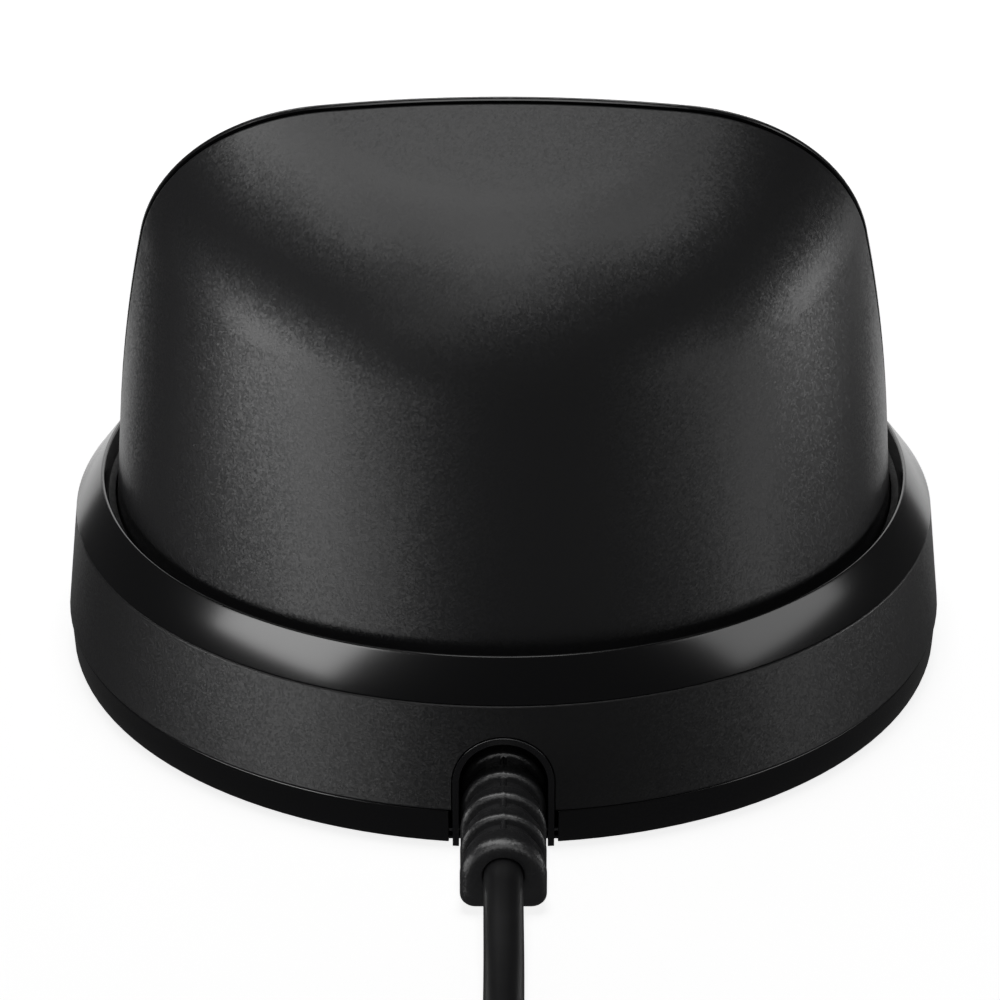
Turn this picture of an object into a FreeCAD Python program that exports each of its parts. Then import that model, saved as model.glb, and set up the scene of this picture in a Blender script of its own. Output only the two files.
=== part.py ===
"""Charging dock for a smartwatch: a round weighted base, a raised head with a leaning
charging face, and a captive lead that ends in a USB-A plug.

Millimetres. Z is up and z = 0 is the table. X = Y = 0 is the axis of the round base.
The charging face looks towards +Y and the lead leaves towards -Y.
"""
import FreeCAD, Part
import math
import os
from FreeCAD import Placement, Rotation, Vector

# Base, from the table up.
BASE_R = 34.0
FOOT_R = 31.6
FOOT_H = 1.0
TREAD_DEPTH = 0.15
COVER_BOTTOM_Z = 0.35
COVER_BOTTOM_R = 33.75
COVER_PLATE_TOP_Z = 2.2
SCREW_SEAT_Z = 1.8
BAND_BOTTOM_Z = 3.2
BAND_TOP_Z = 11.5
BAND_TOP_R = 33.15
BAND_WALL = 2.0
DECK_TOP_Z = 12.9
DECK_T = 1.6
RING_TOP_Z = 14.4
RING_INNER_R = 31.0
RING_SEAT_R = 32.0
FIT = 0.12

# Head: a drafted round wall, an arched roof that climbs towards the face, and one
# large radius between the two. The face plane leans back and cuts the form off.
WALL_R = 29.8
WALL_Z = RING_TOP_Z
WALL_DRAFT = 4.15
ROOF_SLOPE = 32.0
ROOF_ARCH_R = 90.0
RIDGE_Y = -13.8
RIDGE_Z = 50.3
CORNER_R = 16.3
FACE_Y = -1.0
FACE_Z = 18.7
FACE_LEAN = 22.0
SHELL_WALL = 1.8
HEAD_FOOT_Z = 9.6
FLANGE_R = 31.0
FLANGE_H = 1.5
HEAD_BOSSES = [(-13.0, -23.6), (13.0, -23.6), (-20.0, -4.0), (20.0, -4.0)]
HEAD_BOSS_R = 2.2
HEAD_BOSS_TOP_Z = 16.0

# Depths behind (-) and in front of (+) the face plane.
SHELL_END_S = -0.6
LIP_BACK_S = -0.45
FACE_S = 0.15
LIP_ROUND = 0.4
PANEL_BACK_S = -3.8

# Charging face. Heights on it are measured along its slope from FACE_Z.
PAD_T = 14.5
DISH_R = 17.5
DISH_DEPTH = 1.4
PAD_R = 13.4
PAD_DEPTH = 0.75
PAD_THICK = 1.0
COIL_OUTER_R = 11.0
COIL_INNER_R = 4.5
COIL_THICK = 1.0
COIL_WELL_R = 12.0
FERRITE_R = 11.6
FERRITE_THICK = 0.8
MAGNET_R = 3.0
SHIELD_R = 12.5
SHIELD_THICK = 0.5
BRACKET_R = 14.0
BRACKET_THICK = 1.2
BRACKET_SCREW_R = 15.6

# Inside the base.
PLATE_R = 31.0
PLATE_BOTTOM_Z = 2.25
PLATE_T = 1.75
BOARD_X = 15.0
BOARD_Y = (-8.0, 26.0)
BOARD_Z = 5.0
BOARD_T = 1.0
FRAME_R = 30.4
FRAME_T = 1.35
FRAME_Z = HEAD_FOOT_Z - FRAME_T - 0.05
BASE_SCREW_R = 29.4
BASE_BOSS_R = 2.6
BASE_BOSS_BOTTOM_Z = PLATE_BOTTOM_Z + PLATE_T + 0.05
REAR_BOSS_TOP_Z = FRAME_Z - 0.2
CLAMP_Z = 4.85
FRAME_SCREWS = [(-22.5, 11.0), (22.5, 11.0)]
FRAME_BOSS_R = 2.2
BOARD_SCREWS = [(-12.6, -5.0), (12.6, -5.0), (0.0, 15.5)]
BOARD_POST_R = 2.0
CLAMP_Y = -23.5
CLAMP_SIZE = (14.4, 2.8, 1.4)
CLAMP_SCREW_X = 5.2
CLAMP_BOSS_R = 1.7
LED_Y = 23.6
PIPE_R = 1.0
SCREW_R = 0.95
HEAD_OF_SCREW_R = 1.75
HEAD_OF_SCREW_H = 1.0
SMALL_SCREW_R = 0.7
SMALL_HEAD_R = 1.4
SMALL_HEAD_H = 0.75

# Where the lead leaves the base.
LEAD_R = 1.4
LEAD_EXIT_Z = 3.2
NOTCH_HALF = 3.71
NOTCH_TOP_Z = 9.1
COVER_SLOT_HALF = 3.93
COLLAR_HALF = 3.66
COLLAR_WALL = 0.46
COLLAR_PROUD = 0.1
COLLAR_BACK_Y = -28.4
COLLAR_BOTTOM_Z = 0.2
WEB_HALF = 4.4
WEB_FRONT_Y = -32.4
WEB_BACK_Y = -31.7
WEB_BOTTOM_Z = 0.04
WEB_TOP_Z = 0.3
RELIEF_HALF = 3.07
RELIEF_BOTTOM_Z = 0.35
RELIEF_TOP_Z = 6.0
RELIEF_END_Y = -42.5
RELIEF_INNER_Y = -25.0
RELIEF_HOLE_R = 1.46
RELIEF_HOLE_DEPTH = 1.5
RIB_FIRST_Y = -30.3
RIB_PITCH = 2.9
RIB_COUNT = 4
GROOVE_W = 1.05
GROOVE_DEPTH = 0.7
SPINE_HALF = 0.45
NOSE_ROUND = 0.75
ANCHOR_T = 1.6
JACKET_END_Y = -21.8
CORE_R = 0.36

# Coil of the spare lead, four turns wide and two high, and the plug that lies beside it.
COIL_X = -9.5
COIL_Y = -93.0
COIL_IN = 9.8
COIL_OUT = 25.0
COIL_H = 5.7
TAIL_X = COIL_X + 23.3
PLUG_Y = -108.0
PLUG_Z = 3.8
PLUG_NUB = 7.0
NUB_RING_R = 1.95
PLUG_BODY = (15.4, 20.0, 7.6)
BODY_BACK_Y = PLUG_Y - PLUG_NUB
BODY_FRONT_Y = BODY_BACK_Y - PLUG_BODY[1]
USB_SHELL = (12.0, 12.0, 4.5)
USB_SHELL_T = 0.32
SHELL_FRONT_Y = BODY_FRONT_Y - USB_SHELL[1]
TONGUE_BOTTOM_Z = PLUG_Z - USB_SHELL[2] / 2 + USB_SHELL_T + 0.02
TONGUE_T = 1.7

# Routes of the lead's middle line: from the bottom of the relief's hole to the coil,
# and from the coil's last turn to the plug.
LEAD_ROUTE = [
    (0.0, RELIEF_END_Y + RELIEF_HOLE_DEPTH, LEAD_EXIT_Z),
    (0.0, -46.0, LEAD_EXIT_Z),
    (0.05, -52.0, 1.95),
    (0.0, -59.0, LEAD_R),
    (0.2, -64.5, LEAD_R),
    (2.0, -71.2, LEAD_R),
    (6.0, -76.9, LEAD_R),
    (9.2, -81.2, LEAD_R),
]
TAIL_ROUTE = [
    (TAIL_X - 0.4, COIL_Y + 1.5, 4.2),
    (TAIL_X + 0.1, COIL_Y - 4.0, 4.15),
    (TAIL_X, COIL_Y - 9.0, PLUG_Z),
    (TAIL_X, PLUG_Y, PLUG_Z),
]

SLOPE = math.radians(FACE_LEAN)
NORMAL = Vector(0, math.cos(SLOPE), math.sin(SLOPE))
UPHILL = Vector(0, -math.sin(SLOPE), math.cos(SLOPE))
UP = Vector(0, 0, 1)


# ---------------------------------------------------------------- plain helpers

def save(name, shape):
    """Write one node, and stop on a solid that is not sound."""
    if not shape.isValid() or not shape.Solids:
        raise RuntimeError(name + " is not a valid solid")
    body = shape.Solids[0] if len(shape.Solids) == 1 else Part.makeCompound(shape.Solids)
    body.exportStep("parts/" + name + ".step")
    print(name, len(shape.Solids), round(shape.Volume, 2))


def disc(radius, height, at, axis=UP):
    return Part.makeCylinder(radius, height, Vector(*at), axis)


def block(low, high):
    low = Vector(*low)
    size = Vector(*high) - low
    return Part.makeBox(size.x, size.y, size.z, low)


def lathe(profile):
    """Revolve a closed outline of (radius, height) points about the base's axis."""
    points = [Vector(r, 0, z) for r, z in profile]
    face = Part.Face(Part.makePolygon(points + points[:1]))
    return face.revolve(Vector(0, 0, 0), UP, 360)


def on_face(x, t, s):
    """A point x across, t up the slope of the face and s in front of its plane."""
    return Vector(x, FACE_Y, FACE_Z) + UPHILL * t + NORMAL * s


def face_disc(radius, s_back, s_front, x=0.0, t=PAD_T):
    return Part.makeCylinder(radius, s_front - s_back, on_face(x, t, s_back), NORMAL)


def screw(at, axis, length, shank_r=SCREW_R, head_r=HEAD_OF_SCREW_R, head_h=HEAD_OF_SCREW_H):
    """A pan-head screw: `at` is under the head and the shank runs along the axis."""
    at = Vector(*at)
    axis = Vector(axis)
    head = Part.makeCylinder(head_r, head_h, at - axis * head_h, axis)
    head = head.makeFillet(0.3 * head_h, [rim_edge(head, at - axis * head_h)])
    shank = Part.makeCylinder(shank_r, length, at, axis)
    slot = Part.makeBox(0.5, 2 * head_r, 0.45, Vector(-0.25, -head_r, -0.01))
    cross = slot.fuse(Part.makeBox(2 * head_r, 0.5, 0.45, Vector(-head_r, -0.25, -0.01)))
    cross = cross.common(Part.makeCylinder(0.62 * head_r, 1.0, Vector(0, 0, -0.1)))
    cross.Placement = Placement(at - axis * head_h, Rotation(UP, axis))
    return head.fuse(shank).removeSplitter().cut(cross)


def rim_edge(solid, centre):
    """The circular edge of a solid that is centred on a point."""
    for edge in solid.Edges:
        if edge.Curve.TypeId == "Part::GeomCircle" and edge.Curve.Center.distanceToPoint(centre) < 1e-6:
            return edge
    raise RuntimeError("no circular edge there")


def polar(radius, degrees, z):
    angle = math.radians(degrees)
    return (radius * math.cos(angle), radius * math.sin(angle), z)


# ---------------------------------------------------------------- the head's form

def wall_radius(z):
    return WALL_R - (z - WALL_Z) * math.tan(math.radians(WALL_DRAFT))


def behind_plane(s):
    """A large block that fills everything behind the plane at depth s."""
    size = 200.0
    block_back = Part.makeBox(size, size, size, Vector(-size / 2, -size / 2, -size))
    block_back.Placement = Placement(on_face(0, 0, s), Rotation(UP, NORMAL))
    return block_back


def roof_block(inset):
    """Everything under the arched roof surface, which climbs towards +Y."""
    half = 45.0
    run = 70.0
    climb = run * math.tan(math.radians(ROOF_SLOPE))
    top = RIDGE_Z - inset
    spring = top - ROOF_ARCH_R + math.sqrt(ROOF_ARCH_R ** 2 - half ** 2)
    foot = -40.0
    arch = Part.Arc(Vector(-half, RIDGE_Y, spring), Vector(0, RIDGE_Y, top), Vector(half, RIDGE_Y, spring))
    corners = [Vector(half, RIDGE_Y, spring), Vector(half, RIDGE_Y, foot),
               Vector(-half, RIDGE_Y, foot), Vector(-half, RIDGE_Y, spring)]
    sides = Part.makePolygon(corners).Edges
    section = Part.Face(Part.Wire([arch.toShape()] + sides))
    section.translate(Vector(0, -run / 2, -climb / 2))
    return section.extrude(Vector(0, run, climb))


def head_form(inset, s_front, foot_z=HEAD_FOOT_Z):
    """The head's outer form, made smaller all over by `inset` and cut off at s_front."""
    top = 75.0
    foot = Vector(0, 0, foot_z)
    wall = Part.makeCone(wall_radius(foot_z) - inset, wall_radius(top) - inset, top - foot_z, foot)
    form = wall.common(roof_block(inset)).common(behind_plane(8.0))
    shoulder = [edge for edge in form.Edges if joins_wall_and_roof(form, edge)]
    return form.makeFillet(CORNER_R - inset, shoulder).common(behind_plane(s_front))


def joins_wall_and_roof(form, edge):
    kinds = [face.Surface.TypeId for face in form.ancestorsOfType(edge, Part.Face)]
    return "Part::GeomCone" in kinds and "Part::GeomSurfaceOfExtrusion" in kinds


def edges_on_plane(solid, s, above_z):
    """Outer edges that lie in the plane at depth s, and reach above a height."""
    found = []
    for edge in solid.Edges:
        middle = edge.valueAt((edge.FirstParameter + edge.LastParameter) / 2)
        ends = [v.Point for v in edge.Vertexes] + [middle]
        flat = all(abs((p - on_face(0, 0, s)).dot(NORMAL)) < 1e-4 for p in ends)
        if flat and max(p.z for p in ends) > above_z:
            found.append(edge)
    return found


# ---------------------------------------------------------------- outer pieces

def rear_shell():
    outer = head_form(0.0, SHELL_END_S)
    outer = outer.makeFillet(0.18, edges_on_plane(outer, SHELL_END_S, HEAD_FOOT_Z + 0.1))
    inner = head_form(SHELL_WALL, 5.0, HEAD_FOOT_Z - 2.0)
    flange_inner_r = wall_radius(HEAD_FOOT_Z) - 1.0
    flange_top_z = HEAD_FOOT_Z + FLANGE_H
    flange = lathe([(flange_inner_r, HEAD_FOOT_Z), (FLANGE_R, HEAD_FOOT_Z),
                    (FLANGE_R, flange_top_z), (flange_inner_r, flange_top_z)])
    flange = flange.common(behind_plane(SHELL_END_S))
    shell = outer.cut(inner).fuse(flange)
    for x, y in HEAD_BOSSES[:2]:
        post = disc(HEAD_BOSS_R, HEAD_BOSS_TOP_Z - HEAD_FOOT_Z, (x, y, HEAD_FOOT_Z))
        shell = shell.fuse(post)
    for x, y in HEAD_BOSSES[:2]:
        shell = shell.cut(disc(SCREW_R, 5.6, (x, y, HEAD_FOOT_Z - 0.1)))
    return shell.removeSplitter()


def front_cradle():
    rim = head_form(0.0, FACE_S).cut(behind_plane(LIP_BACK_S))
    rim = rim.makeFillet(LIP_ROUND, edges_on_plane(rim, FACE_S, HEAD_FOOT_Z + 0.1))
    spigot = head_form(SHELL_WALL + FIT, LIP_BACK_S + 0.2).cut(behind_plane(PANEL_BACK_S))
    panel = rim.fuse(spigot)
    for x, y in HEAD_BOSSES[2:]:
        panel = panel.fuse(disc(HEAD_BOSS_R, HEAD_BOSS_TOP_Z - HEAD_FOOT_Z, (x, y, HEAD_FOOT_Z)))
    for x, t in bracket_screw_places():
        panel = panel.fuse(face_disc(1.9, PANEL_BACK_S - SHIELD_THICK - 0.1, PANEL_BACK_S, x, t))
    for x, t in bracket_screw_places():
        panel = panel.cut(face_disc(SCREW_R, PANEL_BACK_S - 1.0, PANEL_BACK_S + 2.4, x, t))
    for x, y in HEAD_BOSSES[2:]:
        panel = panel.cut(disc(SCREW_R, 5.6, (x, y, HEAD_FOOT_Z - 0.1)))
    ball_r = (DISH_R ** 2 + DISH_DEPTH ** 2) / (2 * DISH_DEPTH)
    panel = panel.cut(Part.makeSphere(ball_r, on_face(0, PAD_T, FACE_S - DISH_DEPTH + ball_r)))
    pocket_s = FACE_S - PAD_DEPTH - PAD_THICK
    panel = panel.cut(face_disc(PAD_R + FIT, pocket_s, FACE_S + 1.0))
    panel = panel.cut(face_disc(COIL_WELL_R, PANEL_BACK_S - 1.0, pocket_s + 0.1))
    return panel.removeSplitter()


def bracket_screw_places():
    places = []
    for degrees in (30, 150, 270):
        angle = math.radians(degrees)
        places.append((BRACKET_SCREW_R * math.cos(angle), PAD_T + BRACKET_SCREW_R * math.sin(angle)))
    return places


def charge_pad():
    back = FACE_S - PAD_DEPTH - PAD_THICK
    pad = face_disc(PAD_R, back, back + PAD_THICK)
    return pad.makeFillet(0.3, [rim_edge(pad, on_face(0, PAD_T, back + PAD_THICK))])


def bezel_ring():
    """Bevelled outside, rounded inner lip, and a step that sits on the deck's edge."""
    seat_z = BAND_TOP_Z + 0.06
    step_z = DECK_TOP_Z + 0.02
    step_r = RING_SEAT_R - 0.05
    skirt_r = RING_INNER_R - 0.42
    return lathe([
        (BAND_TOP_R - 0.02, seat_z),
        (RING_INNER_R + 0.12, RING_TOP_Z - 0.1),
        (RING_INNER_R + 0.02, RING_TOP_Z - 0.02),
        (RING_INNER_R - 0.1, RING_TOP_Z - 0.03),
        (RING_INNER_R - 0.2, RING_TOP_Z - 0.14),
        (skirt_r, RING_TOP_Z - 0.95),
        (skirt_r, step_z),
        (step_r, step_z),
        (step_r, seat_z),
    ])


def lead_notch(half, top_z, bottom_z, y_from, y_to):
    """An arched opening: straight sides and a half-round top."""
    arch = Part.makeCylinder(half, y_to - y_from, Vector(0, y_from, top_z - half), Vector(0, 1, 0))
    return arch.fuse(block((-half, y_from, bottom_z), (half, y_to, top_z - half)))


def base_boss_places():
    return [polar(BASE_SCREW_R, degrees, BASE_BOSS_BOTTOM_Z) for degrees in (45, 135, 225, 315)]


def base_housing():
    deck_bottom = DECK_TOP_Z - DECK_T
    deck_r = RING_SEAT_R - 0.1
    housing = lathe([
        (BASE_R - 0.12, BAND_BOTTOM_Z),
        (BASE_R, BAND_BOTTOM_Z + 0.12),
        (BAND_TOP_R, BAND_TOP_Z - 0.1),
        (BAND_TOP_R - 0.1, BAND_TOP_Z),
        (deck_r, BAND_TOP_Z),
        (deck_r, DECK_TOP_Z),
        (0, DECK_TOP_Z),
        (0, deck_bottom),
        (BAND_TOP_R - BAND_WALL, deck_bottom),
        (BASE_R - BAND_WALL, BAND_BOTTOM_Z),
    ])
    for place in base_boss_places():
        top_z = deck_bottom + 0.2 if place[1] > 0 else REAR_BOSS_TOP_Z
        housing = housing.fuse(disc(BASE_BOSS_R, top_z - place[2], place))
    for x, y in FRAME_SCREWS:
        housing = housing.fuse(disc(FRAME_BOSS_R, deck_bottom + 0.2 - HEAD_FOOT_Z, (x, y, HEAD_FOOT_Z)))
    opening = head_form(-FIT, FACE_S + FIT, HEAD_FOOT_Z + 0.2)
    housing = housing.cut(opening)
    for place in base_boss_places():
        housing = housing.cut(disc(SCREW_R, 3.6, place))
    for x, y in FRAME_SCREWS:
        housing = housing.cut(disc(SCREW_R, 2.4, (x, y, HEAD_FOOT_Z - 0.1)))
    housing = housing.cut(lead_notch(NOTCH_HALF, NOTCH_TOP_Z, 0.0, -40.0, -30.5))
    housing = housing.cut(disc(PIPE_R + 0.1, 5.0, (0, LED_Y, deck_bottom - 1.0)))
    return housing.removeSplitter()


def bottom_cover():
    rim_z = BAND_BOTTOM_Z - 0.02
    rim_inner_r = BASE_R - BAND_WALL
    cover = lathe([
        (0, COVER_BOTTOM_Z),
        (COVER_BOTTOM_R - 0.3, COVER_BOTTOM_Z),
        (COVER_BOTTOM_R - 0.08, COVER_BOTTOM_Z + 0.08),
        (COVER_BOTTOM_R, COVER_BOTTOM_Z + 0.3),
        (BASE_R - 0.1, rim_z - 0.1),
        (BASE_R - 0.2, rim_z),
        (rim_inner_r, rim_z),
        (rim_inner_r - 0.4, COVER_PLATE_TOP_Z),
        (0, COVER_PLATE_TOP_Z),
    ])
    cover = cover.cut(disc(FOOT_R + 0.15, FOOT_H - COVER_BOTTOM_Z + 0.3, (0, 0, COVER_BOTTOM_Z - 0.3)))
    for x, y, z in base_boss_places():
        cover = cover.cut(disc(SCREW_R + 0.2, 3.0, (x, y, 0)))
        cover = cover.cut(disc(HEAD_OF_SCREW_R + 0.2, SCREW_SEAT_Z, (x, y, 0)))
    cover = cover.cut(block((-COVER_SLOT_HALF, -40, 0), (COVER_SLOT_HALF, JACKET_END_Y + 1.3, 4)))
    boss_z = COVER_PLATE_TOP_Z - 0.2
    for x in (-CLAMP_SCREW_X, CLAMP_SCREW_X):
        cover = cover.fuse(disc(CLAMP_BOSS_R, CLAMP_Z - boss_z, (x, CLAMP_Y, boss_z)))
        cover = cover.cut(disc(SMALL_SCREW_R, 3.0, (x, CLAMP_Y, boss_z)))
    return cover.removeSplitter()


def rubber_foot():
    """Flat foot with a ring groove below and a thin-floored channel for the relief."""
    foot = disc(FOOT_R, FOOT_H, (0, 0, 0))
    channel_end_y = RELIEF_INNER_Y + 0.4
    foot = foot.cut(block((-COVER_SLOT_HALF, -40, WEB_TOP_Z), (COVER_SLOT_HALF, channel_end_y, 4)))
    tread = disc(FOOT_R - 3.0, TREAD_DEPTH, (0, 0, 0)).cut(disc(FOOT_R - 4.2, TREAD_DEPTH, (0, 0, 0)))
    return foot.cut(tread)


def cable_collar():
    """Thin arched liner that stands just proud of the base, its legs joined by a web."""
    collar_top_z = NOTCH_TOP_Z - NOTCH_HALF + COLLAR_HALF
    outer = lead_notch(COLLAR_HALF, collar_top_z, COLLAR_BOTTOM_Z, -BASE_R - 1, COLLAR_BACK_Y)
    inner = lead_notch(COLLAR_HALF - COLLAR_WALL, collar_top_z - COLLAR_WALL, 0.0,
                       -BASE_R - 2, COLLAR_BACK_Y + 1)
    base_outline = lathe([
        (0, 0),
        (COVER_BOTTOM_R + COLLAR_PROUD, 0),
        (BASE_R + COLLAR_PROUD, BAND_BOTTOM_Z),
        (BAND_TOP_R + COLLAR_PROUD, BAND_TOP_Z),
        (0, BAND_TOP_Z),
    ])
    collar = outer.cut(inner).common(base_outline)
    collar = collar.cut(block((-WEB_HALF, WEB_BACK_Y, 0), (WEB_HALF, COLLAR_BACK_Y + 1, RELIEF_BOTTOM_Z)))
    web = block((-WEB_HALF, WEB_FRONT_Y, WEB_BOTTOM_Z), (WEB_HALF, WEB_BACK_Y, WEB_TOP_Z))
    return collar.fuse(web).removeSplitter()


def relief_section(half, bottom_z, top_z, y, corner):
    """A flat-bottomed loop with a half-round top, drawn in the plane at depth y."""
    centre_z = top_z - half
    cap = Part.makeCylinder(half, 1.0, Vector(0, y, centre_z), Vector(0, 1, 0))
    cap = cap.common(block((-half, y, centre_z), (half, y + 1.0, top_z + 1.0)))
    low = block((-half, y, bottom_z), (half, y + 1.0, centre_z))
    lower_edges = [e for e in low.Edges if all(abs(v.Z - bottom_z) < 1e-6 for v in e.Vertexes)]
    lengthwise = [e for e in lower_edges if abs(e.tangentAt(e.FirstParameter).y) > 0.99]
    form = low.makeFillet(corner, lengthwise).fuse(cap).removeSplitter()
    ends = [face for face in form.Faces if abs(face.CenterOfMass.y - y) < 1e-6]
    return ends[0]


def strain_relief():
    length = RELIEF_INNER_Y - RELIEF_END_Y
    section = relief_section(RELIEF_HALF, RELIEF_BOTTOM_Z, RELIEF_TOP_Z, RELIEF_END_Y, 1.0)
    body = section.extrude(Vector(0, length, 0))
    nose = [e for e in body.Edges if all(abs(v.Y - RELIEF_END_Y) < 1e-6 for v in e.Vertexes)]
    body = body.makeFillet(NOSE_ROUND, nose)
    for i in range(RIB_COUNT):
        edge_y = RIB_FIRST_Y - i * RIB_PITCH
        back_y = edge_y - GROOVE_W
        core_top_z = RELIEF_TOP_Z - GROOVE_DEPTH
        core = relief_section(RELIEF_HALF - GROOVE_DEPTH, RELIEF_BOTTOM_Z + 0.4, core_top_z, back_y, 0.8)
        groove = block((-9, back_y, -2.0), (9, edge_y, 9.0)).cut(core.extrude(Vector(0, GROOVE_W, 0)))
        groove = groove.cut(block((-SPINE_HALF, edge_y - 2, 3.0), (SPINE_HALF, edge_y + 1, 9.0)))
        groove = groove.cut(block((-9, edge_y - 2, -2.0), (9, edge_y + 1, RELIEF_BOTTOM_Z + 1.1)))
        body = body.cut(groove)
    anchor_bottom_z = COVER_PLATE_TOP_Z + 0.1
    anchor_top_z = RELIEF_TOP_Z + 1.0
    anchor_y = RELIEF_INNER_Y - ANCHOR_T
    anchor = relief_section(RELIEF_HALF + 0.6, anchor_bottom_z, anchor_top_z, anchor_y, 0.8)
    body = body.fuse(anchor.extrude(Vector(0, ANCHOR_T, 0)))
    hole_at = (0, RELIEF_END_Y - 1, LEAD_EXIT_Z)
    hole = disc(RELIEF_HOLE_R, RELIEF_HOLE_DEPTH + 1, hole_at, Vector(0, 1, 0))
    return body.cut(hole).removeSplitter()


def led_light_pipe():
    pipe = disc(PIPE_R, 5.9, (0, LED_Y, DECK_TOP_Z - 5.9))
    return pipe.fuse(disc(1.5, 0.5, (0, LED_Y, DECK_TOP_Z - DECK_T - 0.55))).removeSplitter()


# ---------------------------------------------------------------- charging parts

def charging_coil():
    front = FACE_S - PAD_DEPTH - PAD_THICK - 0.05
    winding = face_disc(COIL_OUTER_R, front - COIL_THICK, front)
    return winding.cut(face_disc(COIL_INNER_R, front - COIL_THICK - 1, front + 1))


def ferrite_disc():
    front = FACE_S - PAD_DEPTH - PAD_THICK - 0.1 - COIL_THICK
    sheet = face_disc(FERRITE_R, front - FERRITE_THICK, front)
    return sheet.cut(face_disc(MAGNET_R + 0.25, front - 2, front + 1))


def alignment_magnet():
    front = FACE_S - PAD_DEPTH - PAD_THICK - 0.1
    magnet = face_disc(MAGNET_R, front - 1.9, front)
    return magnet.makeChamfer(0.2, [rim_edge(magnet, on_face(0, PAD_T, front))])


def magnet_shield():
    return face_disc(SHIELD_R, PANEL_BACK_S - SHIELD_THICK - 0.05, PANEL_BACK_S - 0.05)


def coil_bracket():
    front = PANEL_BACK_S - SHIELD_THICK - 0.15
    plate = face_disc(BRACKET_R, front - BRACKET_THICK, front)
    for x, t in bracket_screw_places():
        plate = plate.fuse(face_disc(2.6, front - BRACKET_THICK, front, x, t))
    for x, t in bracket_screw_places():
        plate = plate.cut(face_disc(SCREW_R + 0.15, front - 3, front + 1, x, t))
    plate = plate.cut(face_disc(1.6, front - 3, front + 1, 0.0, PAD_T - 9.5))
    return plate.removeSplitter()


def coil_bracket_screws():
    back = PANEL_BACK_S - SHIELD_THICK - 0.15 - BRACKET_THICK
    return Part.makeCompound([screw(on_face(x, t, back), NORMAL, 3.2) for x, t in bracket_screw_places()])


# ---------------------------------------------------------------- tubes

def rounded_path(points):
    """Straight runs joined by tangent arcs, each as large as its two runs allow."""
    points = [Vector(*p) for p in points]
    edges = []
    radii = []
    start = points[0]
    for before, corner, after in zip(points, points[1:], points[2:]):
        inward = (corner - before)
        outward = (after - corner)
        turn = inward.getAngle(outward)
        shorter = min(inward.Length, outward.Length)
        reach = 0.45 * shorter
        radii.append(reach / math.tan(turn / 2))
        inward.normalize()
        outward.normalize()
        first = corner - inward * reach
        last = corner + outward * reach
        towards = (first + last) * 0.5 - corner
        towards.normalize()
        middle = corner + towards * (radii[-1] * (1 / math.cos(turn / 2) - 1))
        edges.append(Part.LineSegment(start, first).toShape())
        edges.append(Part.Arc(first, middle, last).toShape())
        start = last
    edges.append(Part.LineSegment(start, points[-1]).toShape())
    return Part.Wire(edges), radii


def tube(points, radius):
    path, radii = rounded_path(points)
    start = Vector(*points[0])
    along = Vector(*points[1]) - start
    section = Part.Wire(Part.makeCircle(radius, start, along))
    solid = path.makePipeShell([section], True, False)
    ratio = solid.Volume / (math.pi * radius ** 2 * path.Length)
    print("tube: length", round(path.Length, 1), "radii", [round(r, 1) for r in radii])
    print("tube: solid over section times length", round(ratio, 4))
    return solid


# ---------------------------------------------------------------- lead and plug

def lead_coil():
    coil = disc(COIL_OUT, COIL_H, (COIL_X, COIL_Y, 0))
    return coil.cut(disc(COIL_IN, COIL_H + 2, (COIL_X, COIL_Y, -1)))


def lead_tube():
    return tube(LEAD_ROUTE, LEAD_R).cut(lead_coil())


def lead_tail():
    return tube(TAIL_ROUTE, LEAD_R).cut(lead_coil())


def lengthwise_edges(solid):
    return [e for e in solid.Edges if abs(e.tangentAt(e.FirstParameter).y) > 0.99]


def plug_block(size, clear, y_from, y_to):
    """A block on the plug's middle line, `clear` inside the given width and height."""
    half_x = size[0] / 2 - clear
    half_z = size[2] / 2 - clear
    return block((TAIL_X - half_x, y_from, PLUG_Z - half_z), (TAIL_X + half_x, y_to, PLUG_Z + half_z))


def plug_body():
    """Moulded grip with a ringed nub that keeps the lead from bending sharply."""
    grip = plug_block(PLUG_BODY, 0.0, BODY_FRONT_Y, BODY_BACK_Y)
    grip = grip.makeFillet(2.6, lengthwise_edges(grip))
    back = [e for e in grip.Edges if min(v.Y for v in e.Vertexes) > BODY_BACK_Y - 1e-6]
    grip = grip.makeFillet(1.2, back)
    along = Vector(0, -1, 0)
    nub = Part.makeCone(2.3, 3.0, PLUG_NUB + 0.5, Vector(TAIL_X, PLUG_Y, PLUG_Z), along)
    for i in range(3):
        ring_at = (TAIL_X, PLUG_Y - 1.4 - 1.9 * i, PLUG_Z)
        nub = nub.cut(disc(5.0, 0.8, ring_at, along).cut(disc(NUB_RING_R, 0.8, ring_at, along)))
    return grip.fuse(nub).removeSplitter()


def plug_shell():
    """Folded sheet shell with two latch windows in its upper side."""
    outer = plug_block(USB_SHELL, 0.0, SHELL_FRONT_Y, BODY_FRONT_Y)
    outer = outer.makeFillet(0.6, lengthwise_edges(outer))
    shell = outer.cut(plug_block(USB_SHELL, USB_SHELL_T, SHELL_FRONT_Y - 1, BODY_FRONT_Y + 1))
    top_z = PLUG_Z + USB_SHELL[2] / 2
    for x in (TAIL_X - 3.0, TAIL_X + 3.0):
        window_low = (x - 1.25, SHELL_FRONT_Y + 4.2, top_z - 1)
        window_high = (x + 1.25, SHELL_FRONT_Y + 6.7, top_z + 1)
        shell = shell.cut(block(window_low, window_high))
    return shell


def plug_tongue():
    half = USB_SHELL[0] / 2 - USB_SHELL_T - 0.05
    low = (TAIL_X - half, SHELL_FRONT_Y + 0.5, TONGUE_BOTTOM_Z)
    return block(low, (TAIL_X + half, BODY_FRONT_Y, TONGUE_BOTTOM_Z + TONGUE_T))


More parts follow.
